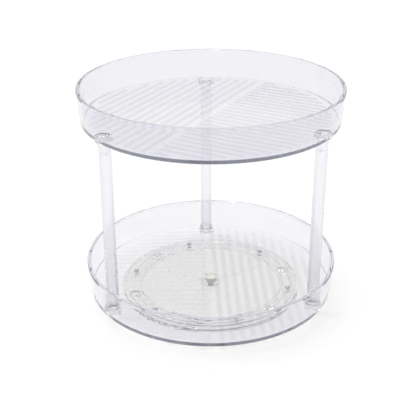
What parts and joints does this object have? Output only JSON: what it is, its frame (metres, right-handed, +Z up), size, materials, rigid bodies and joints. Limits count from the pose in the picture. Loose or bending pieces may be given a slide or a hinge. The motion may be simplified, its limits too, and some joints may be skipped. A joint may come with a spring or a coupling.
{
  "type": "two-tier lazy susan turntable",
  "caption": "Clear plastic two-tier turntable: round walled trays on posts, turning freely on a ball race over a low round base.",
  "frame": {"origin": "on the table, under the middle of the base", "axes": "+Z up along the turning axis; one post stands nearly behind the axis, towards +Y"},
  "size_m": [0.23, 0.23, 0.2006],
  "materials": {
    "clear_tray": "clear gloss",
    "clear_tube": "clear gloss",
    "clear_base": "clear gloss",
    "clear_insert": "clear satin",
    "nylon": "milky satin",
    "soft_foot": "soft translucent",
    "ball_steel": "polished"
  },
  "bodies": {
    "base": {"base_plate": "clear_base", "foot_1": "soft_foot", "foot_2": "soft_foot", "foot_3": "soft_foot", "foot_4": "soft_foot", "foot_5": "soft_foot", "foot_6": "soft_foot", "pivot_pin": "nylon", "pivot_washer": "nylon"},
    "turntable": {"lower_tray": "clear_tray", "upper_tray": "clear_tray", "post_tube_1": "clear_tube", "lower_post_plug_1": "clear_insert", "upper_post_plug_1": "clear_insert", "post_tube_2": "clear_tube", "lower_post_plug_2": "clear_insert", "upper_post_plug_2": "clear_insert", "post_tube_3": "clear_tube", "lower_post_plug_3": "clear_insert", "upper_post_plug_3": "clear_insert"},
    "cage": {"ball_cage": "clear_insert"},
    "ball_1": {"steel_ball_1": "ball_steel"},
    "ball_2": {"steel_ball_2": "ball_steel"},
    "ball_3": {"steel_ball_3": "ball_steel"},
    "ball_4": {"steel_ball_4": "ball_steel"},
    "ball_5": {"steel_ball_5": "ball_steel"},
    "ball_6": {"steel_ball_6": "ball_steel"}
  },
  "joints": [
    {"name": "turntable_spin", "type": "hinge", "parent": "base", "child": "turntable", "pos_m": [0, 0, 0.0074], "axis": [0, 0, 1], "continuous": true},
    {"name": "cage_spin", "type": "hinge", "parent": "base", "child": "cage", "pos_m": [0, 0, 0.0053], "axis": [0, 0, 1], "continuous": true},
    {"name": "ball_1_roll", "type": "hinge", "parent": "cage", "child": "ball_1", "pos_m": [0.04999, 0.05456, 0.0053], "axis": [0.6756, 0.7373, 0], "continuous": true},
    {"name": "ball_2_roll", "type": "hinge", "parent": "cage", "child": "ball_2", "pos_m": [-0.02225, 0.07057, 0.0053], "axis": [-0.3007, 0.9537, 0], "continuous": true},
    {"name": "ball_3_roll", "type": "hinge", "parent": "cage", "child": "ball_3", "pos_m": [-0.07225, 0.01602, 0.0053], "axis": [-0.9763, 0.2164, 0], "continuous": true},
    {"name": "ball_4_roll", "type": "hinge", "parent": "cage", "child": "ball_4", "pos_m": [-0.04999, -0.05456, 0.0053], "axis": [-0.6756, -0.7373, 0], "continuous": true},
    {"name": "ball_5_roll", "type": "hinge", "parent": "cage", "child": "ball_5", "pos_m": [0.02225, -0.07057, 0.0053], "axis": [0.3007, -0.9537, 0], "continuous": true},
    {"name": "ball_6_roll", "type": "hinge", "parent": "cage", "child": "ball_6", "pos_m": [0.07225, -0.01602, 0.0053], "axis": [0.9763, -0.2164, 0], "continuous": true}
  ],
  "couplings": [
    {"joint": "cage_spin", "follows": "turntable_spin", "ratio": 0.5},
    {"joint": "ball_1_roll", "follows": "turntable_spin", "ratio": -15.417},
    {"joint": "ball_2_roll", "follows": "turntable_spin", "ratio": -15.417},
    {"joint": "ball_3_roll", "follows": "turntable_spin", "ratio": -15.417},
    {"joint": "ball_4_roll", "follows": "turntable_spin", "ratio": -15.417},
    {"joint": "ball_5_roll", "follows": "turntable_spin", "ratio": -15.417},
    {"joint": "ball_6_roll", "follows": "turntable_spin", "ratio": -15.417}
  ]
}
